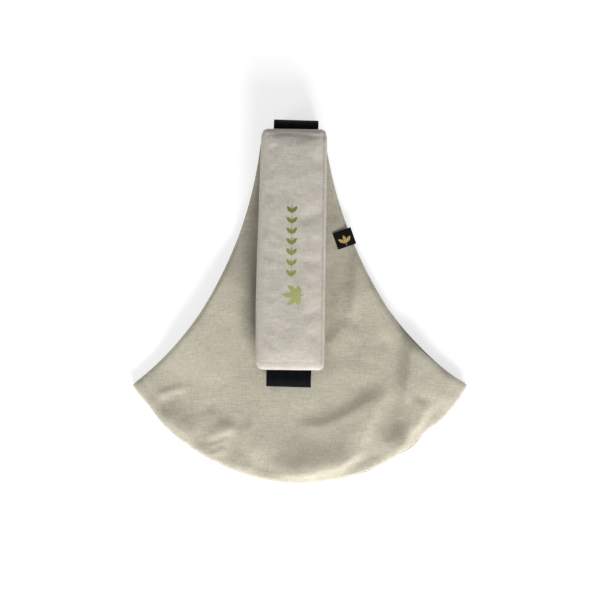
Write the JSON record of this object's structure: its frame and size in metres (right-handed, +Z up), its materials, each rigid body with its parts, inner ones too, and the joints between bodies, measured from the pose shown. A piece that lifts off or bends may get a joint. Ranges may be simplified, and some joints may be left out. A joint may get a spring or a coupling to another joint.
{
  "type": "soft baby carrier",
  "caption": "one-shoulder soft baby carrier: two-panel sling pouch on a webbing shoulder strap with a padded sleeve and side-release buckle",
  "frame": {"origin": "centre of the footprint, on the surface the carrier lies on", "axes": "+X across the seat, +Y toward the shoulder end, +Z up out of the surface"},
  "size_m": [0.387, 0.4141, 0.0427],
  "materials": {
    "canvas": "matte",
    "lining": "matte",
    "pad_canvas": "matte",
    "webbing": "matte",
    "elastic": "matte",
    "buckle_plastic": "satin",
    "foam": "matte",
    "touch_tape": "matte",
    "thread": "matte",
    "black_thread": "matte",
    "label_cloth": "satin",
    "label_thread": "satin",
    "print_ink": "matte"
  },
  "bodies": {
    "sling": {"back_panel_outer": "canvas", "back_panel_lining": "lining", "front_panel_lining": "lining", "front_panel_outer": "canvas", "seam_allowance": "canvas", "back_hem_left": "canvas", "back_hem_right": "canvas", "front_hem_left": "canvas", "front_hem_right": "canvas", "back_apex_patch": "canvas", "front_apex_patch": "canvas", "webbing_back_anchor": "webbing", "back_anchor_stitch": "black_thread", "webbing_front_anchor": "webbing", "front_anchor_stitch": "black_thread"},
    "label": {"side_label": "label_cloth", "label_motif": "label_thread"},
    "strap": {"webbing_inner_fold": "webbing", "webbing_socket_tail": "webbing", "webbing_top_fold": "webbing", "webbing_outer_run": "webbing", "webbing_bottom_fold": "webbing", "webbing_inner_run": "webbing", "webbing_ladder_loop": "webbing", "webbing_free_tail": "webbing", "tail_end_hem": "webbing", "buckle_plug": "buckle_plastic"},
    "keeper": {"elastic_keeper": "elastic"},
    "socket": {"buckle_socket": "buckle_plastic"},
    "left_prong": {"prong_left": "buckle_plastic"},
    "right_prong": {"prong_right": "buckle_plastic"},
    "pad": {"pad_back_cover": "pad_canvas", "pad_back_foam": "foam", "loop_tape": "touch_tape", "pad_spine": "pad_canvas"},
    "pad_flap": {"pad_front_cover": "pad_canvas", "pad_front_foam": "foam", "hook_tape": "touch_tape", "pad_end_hem": "pad_canvas", "pad_edge_stitch": "thread", "pad_print_bar": "print_ink", "pad_print_emblem": "print_ink"}
  },
  "joints": [
    {"name": "strap_lift", "type": "hinge", "parent": "sling", "child": "strap", "pos_m": [-0.00466, 0.18992, 0.016], "axis": [-0.9996, 0.0297, 0], "range_deg": [0, 110], "deforming": ["webbing_top_fold", "webbing_inner_fold"]},
    {"name": "buckle_release", "type": "slide", "parent": "strap", "child": "socket", "axis": [0.0297, 0.9996, 0], "range_m": [0, 0.036], "deforming": ["webbing_socket_tail"]},
    {"name": "prong_left", "type": "hinge", "parent": "strap", "child": "left_prong", "pos_m": [-0.02926, 0.10281, 0.0193], "axis": [0, 0, -1], "range_deg": [0, 7], "stiffness_Nm_per_rad": 0.05},
    {"name": "prong_right", "type": "hinge", "parent": "strap", "child": "right_prong", "pos_m": [0.01472, 0.1015, 0.0193], "axis": [0, 0, 1], "range_deg": [0, 7], "stiffness_Nm_per_rad": 0.05},
    {"name": "keeper_slide", "type": "slide", "parent": "strap", "child": "keeper", "axis": [0.0297, 0.9996, 0], "range_m": [-0.009, 0.009]},
    {"name": "pad_slide", "type": "slide", "parent": "strap", "child": "pad", "axis": [0.0297, 0.9996, 0], "range_m": [-0.006, 0]},
    {"name": "pad_open", "type": "hinge", "parent": "pad", "child": "pad_flap", "pos_m": [-0.04754, 0.05798, 0.0344], "axis": [-0.0131, -0.9999, 0], "range_deg": [0, 175], "deforming": ["pad_spine"]},
    {"name": "label_flip", "type": "hinge", "parent": "sling", "child": "label", "pos_m": [0.0614, 0.0745, 0.01], "axis": [-0.3338, 0.9426, 0], "range_deg": [0, 160]}
  ]
}
